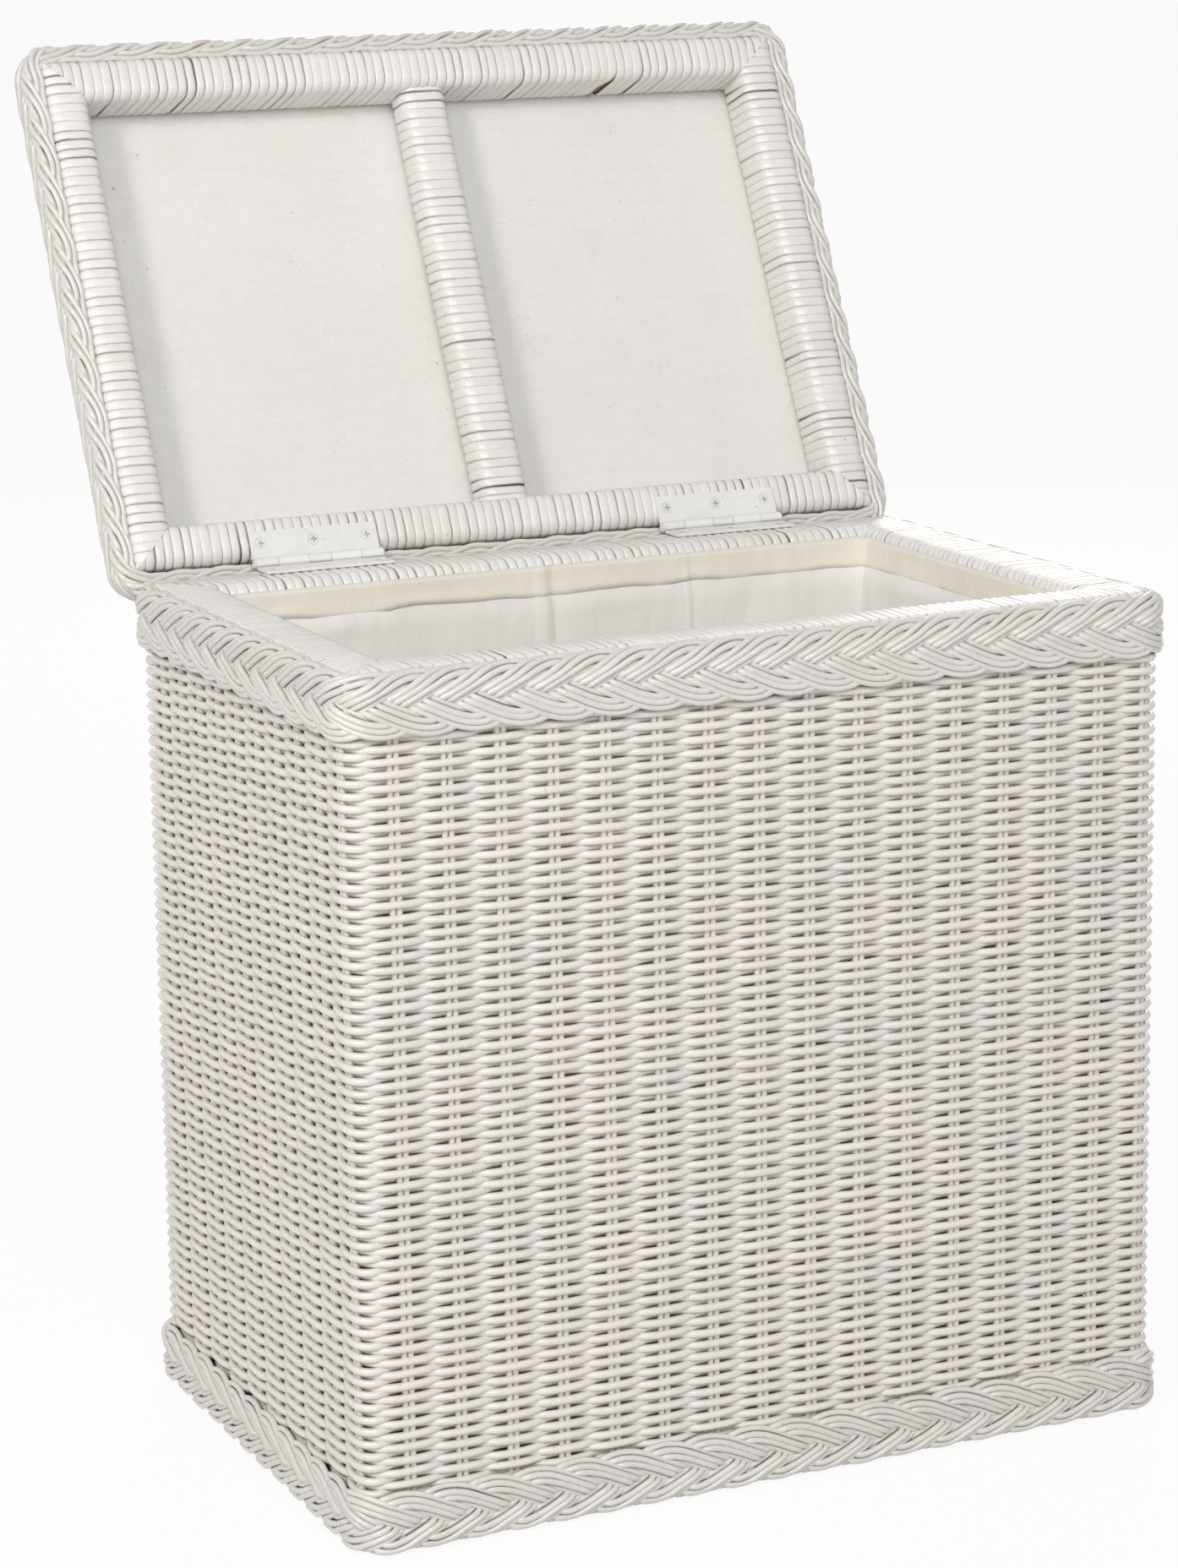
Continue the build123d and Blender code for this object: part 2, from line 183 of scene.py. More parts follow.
def weaveWalls(spec):
    dice = random.Random(11)
    ring = spec["ring"]
    length = ringLength(ring)
    pitch = length / spec["stakes"]
    rowHigh = (spec["high"] - spec["low"]) / spec["rows"]
    corner = ring["corner"] * quarter
    runs = (ring["width"] - 2 * ring["corner"], ring["depth"] - 2 * ring["corner"])
    waves = []
    for row in range(spec["rows"]):
        waves.append([(dice.uniform(*spec["drift"]), turns, dice.uniform(0, anyPhase))
                      for turns in spec["driftTurns"]])
    start = -corner / 2
    pieces = []
    for side, name in enumerate(("front", "right", "back", "left")):
        end = start + runs[side % 2] + corner
        first, last = start + corner / 2, end - corner / 2
        marks = spread(start - spec["lap"], first, spec["perCorner"])
        marks += spread(first, last, round((last - first) / pitch * spec["perStake"]))
        marks += spread(last, end + spec["lap"], spec["perCorner"]) + [end + spec["lap"]]
        rods = []
        for row in range(spec["rows"]):
            rod = []
            for along in marks:
                push = weaveSwing(spec, (along - spec["firstStake"]) / pitch + row)
                drift = sum(size * math.sin(turns * fullTurn * along / length + begin)
                            for size, turns, begin in waves[row])
                high = spec["low"] + (row + 0.5) * rowHigh + drift
                if high < spec["tuckUnder"]:
                    push -= spec["tuckIn"]
                x, y, nx, ny = ringSpot(ring, along)
                rod.append((x + nx * push, y + ny * push, high))
            rods.append(rod)
        rodPiece = layRods("wallRods_" + name, rods, spec["rodThick"], seed=20)
        stakes = []
        for stake in range(spec["stakes"]):
            middle = spec["firstStake"] + stake * pitch
            if not start <= (middle - start) % length + start < end:
                continue
            for half in (-0.5, 0.5):
                x, y = ringSpot(ring, middle + half * spec["stakeThick"] * spec["stakeGap"])[:2]
                stakes.append([(x, y, high) for high in spec["stakeHigh"]])
        stakePiece = layRods("wallStakes_" + name, stakes, spec["stakeThick"], sides=8, seed=side + 40)
        pickOnly(stakePiece)
        rodPiece.select_set(True)
        bpy.context.view_layer.objects.active = rodPiece
        bpy.ops.object.join()
        rodPiece.name = rodPiece.data.name = "wovenWall_" + name
        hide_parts("wall_" + name)
        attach(rodPiece, "basket")
        pieces.append(rodPiece)
        start = end
    return pieces


wovenWalls = weaveWalls(wallWeave)
print("woven walls:", sum(len(piece.data.polygons) for piece in wovenWalls), "faces")


# a plait's section runs straight up and down from its middle line, then bends inwards
def sectionSpot(section, reach):
    way = 1 if reach >= 0 else -1
    run, bend = section["up"] if way > 0 else section["down"]
    gone = abs(reach)
    if gone <= run:
        return 0, section["middle"] + reach, 1, 0
    if gone <= run + bend * quarter:
        turn = (gone - run) / bend
        z = section["middle"] + way * (run + bend * math.sin(turn))
        return -bend * (1 - math.cos(turn)), z, math.cos(turn), way * math.sin(turn)
    flat = gone - run - bend * quarter
    return -bend - flat, section["middle"] + way * (run + bend), 0, way


# how far out a group of rods is, and how it leans, a way along from the plait's middle line
def groupPath(gone, tanS, level, straight, comeBack):
    part = gone * tanS / level
    if part <= straight:
        return gone * tanS, tanS
    turn = min((part - straight) / (1 - straight), comeBack)
    return level * (straight + (1 - straight) * math.sin(turn)), tanS * math.cos(turn)


# the three plaits are laid alike
plaiting = {
    "sideSlip": 0.0002,
    "highSlip": 0.0003,
    "startBack": 0.6,  # of a pitch, before the middle line
    "longest": 3,  # pitches
    "step": 0.0035,
    "hiddenStart": 0.009,  # kept of a rod under the other half
    "hiddenEnd": 0.008,  # and under the next group
    "comeUp": (-0.0015, 0.0035),  # from under the other half
    "goUnder": (-0.0002, 0.0042),  # the next group
}


# flat plait: groups of rods start under each other at the middle line, run out to an edge
# and turn back there under the next group
def plaitRods(spec, seed):
    dice = random.Random(seed)
    ring, section = spec["ring"], spec["section"]
    length = ringLength(ring)
    count = round(length / spec["pitch"])
    pitch = length / count
    slope = math.radians(spec["slope"])
    sinS, cosS, tanS = math.sin(slope), math.cos(slope), math.tan(slope)
    gap = pitch * sinS * spec["fill"] / spec["rods"]
    half = (gap * (spec["rods"] - 1) + spec["rodThick"]) / 2
    rods = []
    for family in (1, -1):
        level = spec["reach"][family] - half
        bow = (tanS, level, spec["straight"], spec["comeBack"])
        for group in range(count):
            begin = (group + (0.5 if family > 0 else 1)) * pitch
            for each in range(spec["rods"]):
                fromMiddle = each + 0.5 - spec["rods"] / 2
                aside = fromMiddle * gap + dice.uniform(-plaiting["sideSlip"], plaiting["sideSlip"])
                across = 2 * fromMiddle / (spec["rods"] - 1)
                lift = spec["lift"] + spec["arch"] * (1 - across ** 2) + spec["tilt"] * across
                lift += dice.uniform(-plaiting["highSlip"], plaiting["highSlip"])
                rod = []
                gone = -plaiting["startBack"] * pitch
                while True:
                    out, lean = groupPath(gone, *bow)
                    size = math.hypot(1, lean)
                    ahead = gone - aside * lean / size
                    out += aside / size
                    entered = ahead * sinS + out * cosS
                    nextOut, nextLean = groupPath(ahead - pitch, *bow)
                    left = half - (out - nextOut) / math.hypot(1, nextLean)
                    gone += plaiting["step"]
                    if entered < -plaiting["hiddenStart"]:
                        continue
                    if left > plaiting["hiddenEnd"] or gone > plaiting["longest"] * pitch:
                        break
                    shown = smoothStep(entered, *plaiting["comeUp"])
                    shown *= 1 - smoothStep(left, *plaiting["goUnder"])
                    high = shown * (lift + spec["dive"]) - spec["dive"]
                    x, y, nx, ny = ringSpot(ring, spec["travel"] * (begin + ahead))
                    inset, z, outward, upward = sectionSpot(section, family * out)
                    push = inset + high * outward
                    rod.append((x + nx * push, y + ny * push, z + high * upward))
                rods.append(rod)
    return rods


rimPlait = {
    "ring": {"width": 0.6228, "depth": 0.4028, "corner": 0.0224},
    "section": {"middle": 0.580, "up": (0.0101, 0.0075), "down": (0.04, 0.01)},
    "pitch": 0.0330,
    "slope": 25.5,
    "rods": 4,  # in a group
    "rodThick": 0.0048,
    "fill": 1.08,
    "reach": {1: 0.0262, -1: 0.0228},  # up and down from the middle line
    "lift": 0.0002,
    "arch": 0.0019,  # middle rods of a group stand up
    "tilt": 0.0009,  # and its outer rods
    "dive": 0.0024,
    "straight": 0.42,  # share of the way out, before the turn back
    "comeBack": 2.7,  # how far it turns
    "travel": 1,  # way round the basket
}
rimBraid = layRods("rimPlait", plaitRods(rimPlait, 3), rimPlait["rodThick"], seed=31)
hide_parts("rim_braid")
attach(rimBraid, "basket")

basePlait = {
    "ring": {"width": 0.6246, "depth": 0.4046, "corner": 0.0233},
    "section": {"middle": 0.0205, "up": (0.012, 0.02), "down": (0.0108, 0.006)},
    "pitch": 0.0325,
    "slope": 26,
    "rods": 4,
    "rodThick": 0.0047,
    "fill": 1.08,
    "reach": {1: 0.0240, -1: 0.0215},
    "lift": 0.0002,
    "arch": 0.0023,
    "tilt": 0.0006,
    "dive": 0.0024,
    "straight": 0.42,
    "comeBack": 2.7,
    "travel": -1,
}
baseBraid = layRods("basePlait", plaitRods(basePlait, 4), basePlait["rodThick"], seed=32)
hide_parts("base_braid")
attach(baseBraid, "basket")

lidPlait = {
    "ring": {"width": 0.6312, "depth": 0.4242, "corner": 0.0216, "back": -0.2025},
    "section": {"middle": 0.0165, "up": (0.0095, 0.0096), "down": (0.0020, 0.0041)},
    "pitch": 0.0334,
    "slope": 19,
    "rods": 3,
    "rodThick": 0.0049,
    "fill": 1.16,
    "reach": {1: 0.0258, -1: 0.0180},
    "lift": 0.0006,
    "arch": 0.0010,
    "tilt": 0.0006,
    "dive": 0.0016,
    "straight": 0.70,
    "comeBack": 2.3,
    "travel": -1,
}
lidBraid = layRods("lidPlait", plaitRods(lidPlait, 5), lidPlait["rodThick"], seed=33)
lidBraid.data.transform(lidPlace)
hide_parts("lid_braid")
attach(lidBraid, "lid")
for piece in (rimBraid, baseBraid, lidBraid):
    print(piece.name, len(piece.data.polygons), "faces")


# woven top of the lid, with rods laid round its edge
lidTop = {
    "ring": {"width": 0.6169, "depth": 0.4069, "corner": 0.01445, "back": -0.204},
    "edge": {"middle": 0.0428, "up": (0.0066, 0.0085), "down": (0.01, 0.01)},
    "edgeRods": 7,
    "rodThick": 0.0031,
    "edgeLap": 0.985,  # rod to rod, in thicknesses
    "edgeSteps": 300,
    "ripple": 0.0003,  # of the edge rods
    "ripples": 26,
    "stakeThick": 0.0020,
    "stakeGap": 0.6,  # from the middle of a pair, in thicknesses
    "middleHigh": 0.0550,
    "swing": 0.0025,
    "drift": (0.0001, 0.0003),  # rows wander aside by this
    "driftRate": 60,
    "pitch": 0.0379,
    "rowPitch": 0.00325,
    "perStake": 6,
    "inset": 0.0085,
}


def weaveLidTop(spec):
    dice = random.Random(17)
    ring = spec["ring"]
    halfWide = ring["width"] / 2 - spec["inset"]
    halfDeep = ring["depth"] / 2 - spec["inset"]
    bend = ring["corner"]
    rows = round(2 * halfDeep / spec["rowPitch"])
    rods = []
    for row in range(rows + 1):
        y = -halfDeep + 2 * halfDeep * row / rows
        over = max(abs(y) - (halfDeep - bend), 0)
        reach = halfWide - bend + math.sqrt(max(bend * bend - over * over, 0))
        steps = round(2 * reach / spec["pitch"] * spec["perStake"])
        wave, begin = dice.uniform(*spec["drift"]), dice.uniform(0, anyPhase)
        rod = []
        for step in range(steps + 1):
            x = -reach + 2 * reach * step / steps
            high = spec["middleHigh"] + weaveSwing(spec, x / spec["pitch"] + row)
            rod.append((x, y + ring["back"] + wave * math.sin(spec["driftRate"] * x + begin), high))
        rods.append(rod)
    top = layRods("lidTopRods", rods, spec["rodThick"], seed=51)
    stakes = []
    count = int(halfWide / spec["pitch"])
    for stake in range(-count, count + 1):
        for half in (-1, 1):
            x = stake * spec["pitch"] + half * spec["stakeGap"] * spec["stakeThick"]
            stakes.append([(x, ring["back"] + y, spec["middleHigh"]) for y in (-halfDeep, 0, halfDeep)])
    stakePiece = layRods("lidTopStakes", stakes, spec["stakeThick"], seed=52)
    hoops = []
    for hoop in range(spec["edgeRods"]):
        reach = hoop * spec["rodThick"] * spec["edgeLap"]
        inset, z, outward, upward = sectionSpot(spec["edge"], reach)
        steps = spec["edgeSteps"]
        loop = []
        for step in range(steps):
            x, y, nx, ny = ringSpot(ring, ringLength(ring) * step / steps)
            ripple = spec["ripple"] * math.sin(2 * math.pi * (spec["ripples"] * step / steps + 0.5 * hoop))
            push = inset + ripple * outward
            loop.append((x + nx * push, y + ny * push, z + ripple * upward))
        hoops.append(loop)
    hoopPiece = layRods("lidTopEdge", hoops, spec["rodThick"], closed=True, seed=53)
    pickOnly(stakePiece)
    hoopPiece.select_set(True)
    top.select_set(True)
    bpy.context.view_layer.objects.active = top
    bpy.ops.object.join()
    top.name = top.data.name = "wovenLidTop"
    top.data.transform(lidPlace)
    return top


wovenLidTop = weaveLidTop(lidTop)
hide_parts("lid_weave")
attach(wovenLidTop, "lid")
print("lid top:", len(wovenLidTop.data.polygons), "faces")


# cane wound round the rails: one turn is modelled, then copied along each rail
caneTurn = {
    "wide": 0.0073,
    "bend": 0.009,
    "dip": 0.0003,  # at its sides
    "shoulder": 0.27,  # of its width
    "crown": 0.0005,
    "advance": -0.75,  # widths, from one turn to the next
    "fit": (-0.006, 0.004),  # looser or tighter round the rail
    "jolt": 0.0004,
    "slant": 1.3,  # degrees
    "lapped": (1.04, 1.38),  # widths, most turns lap the one before
    "narrow": 0.95,
    "narrowShare": 0.10,
    "slip": 0.013,  # of the slipped turn
    "spare": 4,  # turns, cut off at the ends
}


# how much of a spot is on the inner face, where the cane moves on
def innerShare(spot, across, high, shownSide):
    return share(0.5 - shownSide * spot.co.z / high) * share(0.5 + spot.co.y / across)


def modelTurn(name, across, high, shownSide):
    dropPick()
    wide = caneTurn["wide"]
    crown, dip = 2 * caneTurn["crown"], 2 * caneTurn["dip"]
    bpy.ops.mesh.primitive_cube_add(size=1)
    turn = bpy.context.object
    turn.name = name
    turn.scale = (wide, across, high)
    bpy.ops.object.transform_apply(scale=True)
    bpy.ops.object.mode_set(mode="EDIT")
    bpy.ops.mesh.select_mode(type="EDGE")
    pickEdges(turn, lambda edge: abs(edge.verts[0].co.x - edge.verts[1].co.x) > wide / 2)
    bpy.ops.mesh.bevel(offset=caneTurn["bend"], segments=3, affect="EDGES")
    bpy.ops.mesh.select_mode(type="FACE")
    pickFaces(turn, lambda face: abs(face.normal.x) > 0.9)
    bpy.ops.mesh.delete(type="ONLY_FACE")
    for cut in (-caneTurn["shoulder"], 0, caneTurn["shoulder"]):
        bpy.ops.mesh.select_all(action="SELECT")
        bpy.ops.mesh.bisect(plane_co=(cut * wide, 0, 0), plane_no=(1, 0, 0))
    bpy.ops.mesh.select_mode(type="EDGE")
    pickEdges(turn, lambda edge: all(abs(spot.co.x) < 0.05 * wide for spot in edge.verts))
    bpy.ops.transform.resize(value=(1, 1 + crown / across, 1 + crown / high))
    pickEdges(turn, lambda edge: all(abs(spot.co.x) > 0.45 * wide for spot in edge.verts)
              and edge.is_boundary)
    bpy.ops.transform.resize(value=(1, 1 - dip / across, 1 - dip / high))
    bpy.ops.mesh.bridge_edge_loops()  # inside of the turn
    bpy.ops.mesh.select_all(action="SELECT")
    bpy.ops.mesh.normals_make_consistent(inside=False)
    bpy.ops.object.mode_set(mode="OBJECT")
    bpy.ops.object.shade_smooth()
    # the cane moves on to its next turn across the inner face, and back on the hidden one
    for spot in turn.data.vertices:
        spot.co.x += caneTurn["advance"] * wide * innerShare(spot, across, high, shownSide)
    return turn


def windRail(name, turn, length, place, mitre, seed, torn=None):
    dice = random.Random(seed)
    count = round(length / caneTurn["wide"]) + caneTurn["spare"]
    copies = []
    for each in range(count):
        along = (each - count / 2 + 0.5) * caneTurn["wide"]
        copy = turn.copy()
        copy.data = turn.data.copy()
        scene.collection.objects.link(copy)
        fit = 1 + dice.uniform(*caneTurn["fit"])
        jolt = dice.uniform(-caneTurn["jolt"], caneTurn["jolt"])
        lapped = dice.random() > caneTurn["narrowShare"]
        wide = dice.uniform(*caneTurn["lapped"]) if lapped else caneTurn["narrow"]
        slant = dice.uniform(-caneTurn["slant"], caneTurn["slant"])
        if torn is not None and abs(along - torn) < caneTurn["wide"] / 2:
            across, high = turn.dimensions.yz
            for spot in copy.data.vertices:  # slipped aside on the inner face
                spot.co.x -= caneTurn["slip"] * innerShare(spot, across, high, -1)
        copy.data.transform(Matrix.Translation((along + jolt, 0, 0))
                            @ Matrix.Rotation(math.radians(slant), 4, "Z")
                            @ Matrix.Diagonal((wide, fit, fit, 1)))
        copies.append(copy)
    dropPick()
    for copy in copies:
        copy.select_set(True)
    bpy.context.view_layer.objects.active = copies[0]
    bpy.ops.object.join()
    wound = bpy.context.object
    wound.name = wound.data.name = name
    bpy.ops.object.mode_set(mode="EDIT")
    for end in (-1, 1):  # ends cut to the corner, or square
        bpy.ops.mesh.select_all(action="SELECT")
        bpy.ops.mesh.bisect(plane_co=(end * length / 2, -mitre / 2, 0),
                            plane_no=(end, 1 if mitre else 0, 0), clear_outer=True)
    bpy.ops.object.mode_set(mode="OBJECT")
    wound.data.transform(place)
    return wound


rimFrame = {"width": 0.612, "depth": 0.392, "across": 0.044, "high": 0.0354, "middle": 0.5837}
lidFrame = {"width": 0.608, "depth": 0.398, "across": 0.032, "high": 0.043, "middle": 0.0255,
            "back": -0.204}
lidBar = {"across": 0.036, "high": 0.032, "length": 0.340, "middle": 0.027}
tornCane = 0.160  # slipped turn on the lid's front rail

rimTurn = modelTurn("rimTurn", rimFrame["across"], rimFrame["high"], 1)
lidEdgeTurn = modelTurn("lidEdgeTurn", lidFrame["across"], lidFrame["high"], -1)
lidBarTurn = modelTurn("lidBarTurn", lidBar["across"], lidBar["high"], -1)
caneWraps = []
for side, name in enumerate(("front", "right", "back", "left")):
    for spec, turn, kind in ((rimFrame, rimTurn, "rim"), (lidFrame, lidEdgeTurn, "lid")):
        sizes = (spec["width"], spec["depth"])
        length, opposite = sizes[side % 2], sizes[1 - side % 2]
        place = (Matrix.Translation((0, spec.get("back", 0), spec["middle"]))
                 @ Matrix.Rotation(side * quarter, 4, "Z")
                 @ Matrix.Translation((0, -(opposite - spec["across"]) / 2, 0)))
        if kind == "lid":
            place = lidPlace @ place
        torn = tornCane if (kind, name) == ("lid", "front") else None
        wound = windRail(f"{kind}Cane_{name}", turn, length, place, spec["across"], 60 + side, torn)
        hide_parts(f"{kind}_wrap_{name}")
        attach(wound, "basket" if kind == "rim" else "lid")
        caneWraps.append(wound)
barPlace = (lidPlace @ Matrix.Translation((0, lidFrame["back"], lidBar["middle"]))
            @ Matrix.Rotation(quarter, 4, "Z"))
barCane = windRail("lidCane_middle", lidBarTurn, lidBar["length"], barPlace, 0, 70)
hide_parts("lid_middle_wrap")
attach(barCane, "lid")
caneWraps.append(barCane)
for turn in (rimTurn, lidEdgeTurn, lidBarTurn):
    bpy.data.objects.remove(turn)
print("cane:", sum(len(piece.data.polygons) for piece in caneWraps), "faces")


# sewn bag with a folded hem
liner = {
    "width": 0.5226,
    "depth": 0.3026,
    "low": 0.0430,
    "high": 0.5945,
    "corner": 0.012,
    "hemHigh": 0.024,
    "hemIn": 0.0013,
    "cloth": 0.0007,
    "grid": 0.0105,
    "fineHigh": 0.115,  # close cross cuts near the top, where the folds are seen
    "fineGrid": 0.006,
    "wideGrid": 0.025,
    "sag": 0.004,
    "crease": 0.0085,
    "seams": ((-0.011, 0.0065), (0.108, 0.003)),  # place and half width, on the long walls
    "seamCuts": (-1, -0.6, 0.6, 1, 1.5),  # in half widths
    "seamProud": 0.18,  # of the half width
    "seamDent": (0.13, 1.25, 0.003),  # depth and place in half widths, and how wide
    "footHigh": 0.08,  # folds fade towards the bottom
    "hangHigh": 0.045,  # and towards the top
    "sagHigh": 0.12,
    "broadFolds": (21, 7),  # how close, across and down
    "fineFolds": (62, 24),
    "fineShare": 0.22,
    "roll": (0.0030, 0.006, 0.005),  # cloth under the hem: how far in, how far down, how wide
    "rollRuns": 9,
    "cornerFold": 0.0026,
    "cornerSlant": (130, 85, 2),  # how close across and down, and how uneven
    "cornerWide": 0.035,
    "cornerFrom": (0.006, 0.03),
    "hemTurn": 0.0008,
    "hemRows": 5,
    "hemSlack": 0.6,  # of the way back to the wall
    "hemWaves": ((0.0085, 8, 5), (0.0030, 30, 7)),  # how high, how close, from where
    "bottomRise": (0.0016, 16),  # how high and how close
}


def linerCuts(spec):
    cuts = []
    for axis, half in ((0, spec["width"] / 2), (1, spec["depth"] / 2)):
        cuts += [(axis, spot) for spot in spread(-half, half, round(2 * half / spec["grid"]))[1:]]
    for middle, half in spec["seams"]:
        cuts += [(0, middle + half * part) for part in spec["seamCuts"]]
    fine = spec["high"] - spec["fineHigh"]
    wideSteps = round((fine - spec["low"]) / spec["wideGrid"])
    fineSteps = round(spec["fineHigh"] / spec["fineGrid"])
    cuts += [(2, spot) for spot in spread(spec["low"], fine, wideSteps)[1:]]
    cuts += [(2, spot) for spot in spread(fine, spec["high"], fineSteps)]
    return cuts


# soft unevenness, from -1 to 1
def uneven(x, y, close, third, shift=0):
    return noise.noise(Vector((x * close + shift, y * close, third)))


# how far the cloth comes in from its wall, at a spot along and down it
def clothFold(spec, x, y, z, along, half, longWall):
    below = spec["high"] - z
    foot = smoothStep(z - spec["low"], 0, spec["footHigh"])
    hung = smoothStep(below, 0, spec["hangHigh"]) * (0.2 + 0.8 * foot)
    close, down = spec["broadFolds"]
    broad = 0.5 + 0.5 * uneven(x, y, close, z * down)
    close, down = spec["fineFolds"]
    fine = 0.5 + 0.5 * uneven(x, y, close, z * down, 9)
    inward = spec["sag"] * smoothStep(below, 0, spec["sagHigh"]) * foot * max(1 - (along / half) ** 2, 0)
    inward += spec["crease"] * hung * (broad + spec["fineShare"] * fine)
    # soft roll of cloth under the hem
    deep, down, wide = spec["roll"]
    roll = 0.35 + 0.65 * smoothStep(uneven(x, y, spec["rollRuns"], 3), -0.3, 0.4)
    inward += deep * roll * math.exp(-((below - spec["hemHigh"] - down) / wide) ** 2)
    # slanting folds at the corners
    toCorner = half - abs(along)
    close, down, wander = spec["cornerSlant"]
    slant = 1 + math.sin(close * toCorner + down * below + wander * broad)
    near = math.exp(-toCorner / spec["cornerWide"]) * smoothStep(toCorner, *spec["cornerFrom"])
    inward += spec["cornerFold"] * hung * slant * near
    if longWall:
        dent, aside, wide = spec["seamDent"]
        for middle, width in spec["seams"]:
            inward += spec["seamProud"] * width * (1 - smoothStep(abs(along - middle), 0.6 * width, width))
            inward -= dent * width * math.exp(-((along - middle - aside * width) / wide) ** 2)
    return inward


def sewLiner(spec):
    dropPick()
    tall = spec["high"] - spec["low"]
    bpy.ops.mesh.primitive_cube_add(size=1, location=(0, 0, (spec["high"] + spec["low"]) / 2))
    bag = bpy.context.object
    bag.name = bag.data.name = "linerBag"
    bag.scale = (spec["width"], spec["depth"], tall)
    bpy.ops.object.transform_apply(location=True, scale=True)
    bpy.ops.object.mode_set(mode="EDIT")
    bpy.ops.mesh.select_mode(type="FACE")
    pickFaces(bag, lambda face: face.normal.z > 0.9)
    bpy.ops.mesh.delete(type="FACE")
    bpy.ops.mesh.select_mode(type="EDGE")
    pickEdges(bag, lambda edge: abs(edge.verts[0].co.z - edge.verts[1].co.z) > tall / 2)
    bpy.ops.mesh.bevel(offset=spec["corner"], segments=5, affect="EDGES")
    for axis, place in linerCuts(spec):  # cross cuts for the folds
        spot, way = [0, 0, 0], [0, 0, 0]
        spot[axis], way[axis] = place, 1
        bpy.ops.mesh.select_all(action="SELECT")
        bpy.ops.mesh.bisect(plane_co=spot, plane_no=way)
    bodySpots = len(bmesh.from_edit_mesh(bag.data).verts)
    # hem turned in over the top edge and sewn down
    pickEdges(bag, lambda edge: edge.is_boundary)
    shrink = (1 - 2 * spec["hemIn"] / spec["width"], 1 - 2 * spec["hemIn"] / spec["depth"], 1)
    bpy.ops.mesh.extrude_edges_move(TRANSFORM_OT_translate={"value": (0, 0, spec["hemTurn"])})
    bpy.ops.transform.resize(value=shrink, center_override=(0, 0, 0))
    rowDown = -spec["hemHigh"] / spec["hemRows"]
    for row in range(spec["hemRows"]):
        bpy.ops.mesh.extrude_edges_move(TRANSFORM_OT_translate={"value": (0, 0, rowDown)})
    slacken = [1 / (1 - (1 - value) * spec["hemSlack"]) for value in shrink]
    bpy.ops.transform.resize(value=slacken, center_override=(0, 0, 0))
    bpy.ops.mesh.select_all(action="SELECT")
    bpy.ops.mesh.normals_make_consistent(inside=True)
    bpy.ops.object.mode_set(mode="OBJECT")
    hemMark = bag.data.attributes.new("hem", "FLOAT", "POINT")
    hemMark.data.foreach_set("value", [float(spot.index >= bodySpots) for spot in bag.data.vertices])
    # the bag sags in between its corners and falls in folds
    halfWide, halfDeep = spec["width"] / 2, spec["depth"] / 2
    hemLow = spec["high"] - spec["hemHigh"]
    cornerIn = spec["corner"] - spec["hemIn"]
    rise, close = spec["bottomRise"]
    for spot in bag.data.vertices:
        x, y, z = spot.co
        inX = share((abs(x) - halfWide + spec["corner"]) / cornerIn)
        inY = share((abs(y) - halfDeep + spec["corner"]) / cornerIn)
        spot.co.x -= math.copysign(1, x) * inX * clothFold(spec, x, y, z, y, halfDeep, False)
        spot.co.y -= math.copysign(1, y) * inY * clothFold(spec, x, y, z, x, halfWide, True)
        if z < spec["low"] + 0.001:
            spot.co.z += rise * (1 + uneven(x, y, close, 0)) * (1 - max(inX, inY))
        if spot.index >= bodySpots and z < hemLow + 0.006:  # lower edge of the hem
            for high, often, third in spec["hemWaves"]:
                spot.co.z += high * uneven(x, y, often, third)
    pickOnly(bag)
    thick = bag.modifiers.new("cloth", "SOLIDIFY")
    thick.thickness = spec["cloth"]
    thick.offset = 1
    bpy.ops.object.modifier_apply(modifier="cloth")
    bpy.ops.object.shade_smooth()
    return bag


linerBag = sewLiner(liner)
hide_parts("liner_front", "liner_right", "liner_back", "liner_left", "liner_bottom")
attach(linerBag, "basket")
print("liner:", len(linerBag.data.polygons), "faces")


# materials
def newGroup(name, inputs, outputs):
    group = bpy.data.node_groups.new(name, "ShaderNodeTree")
    for label, kind, value in inputs:
        group.interface.new_socket(label, in_out="INPUT", socket_type=kind).default_value = value
    for label, kind in outputs:
        group.interface.new_socket(label, in_out="OUTPUT", socket_type=kind)
    return group


def addNode(tree, kind, **values):
    node = tree.nodes.new(kind)
    for label, value in values.items():
        setattr(node, label, value)
    return node


def setInputs(node, **values):
    for label, value in values.items():
        node.inputs[label].default_value = value
    return node


def mixColour(tree, part, first, second, blend="MIX"):
    node = addNode(tree, "ShaderNodeMix", data_type="RGBA", blend_type=blend)
    for socket, value in ((0, part), (6, first), (7, second)):
        if isinstance(value, bpy.types.NodeSocket):
            tree.links.new(value, node.inputs[socket])
        else:
            node.inputs[socket].default_value = value
    return node.outputs[2]


def maths(tree, operation, first, second=0.0, clamp=False):
    node = addNode(tree, "ShaderNodeMath", operation=operation, use_clamp=clamp)
    for socket, value in ((0, first), (1, second)):
        if isinstance(value, bpy.types.NodeSocket):
            tree.links.new(value, node.inputs[socket])
        else:
            node.inputs[socket].default_value = value
    return node.outputs[0]


def span(tree, value, low, high, toLow=0.0, toHigh=1.0):
    node = addNode(tree, "ShaderNodeMapRange")
    tree.links.new(value, node.inputs["Value"])
    for label, number in (("From Min", low), ("From Max", high), ("To Min", toLow), ("To Max", toHigh)):
        node.inputs[label].default_value = number
    return node.outputs["Result"]


def noiseOf(tree, place, scale, detail=3.0, rough=0.5):
    node = addNode(tree, "ShaderNodeTexNoise")
    tree.links.new(place, node.inputs["Vector"])
    for label, value in (("Scale", scale), ("Detail", detail), ("Roughness", rough)):
        node.inputs[label].default_value = value
    return node.outputs["Fac"]


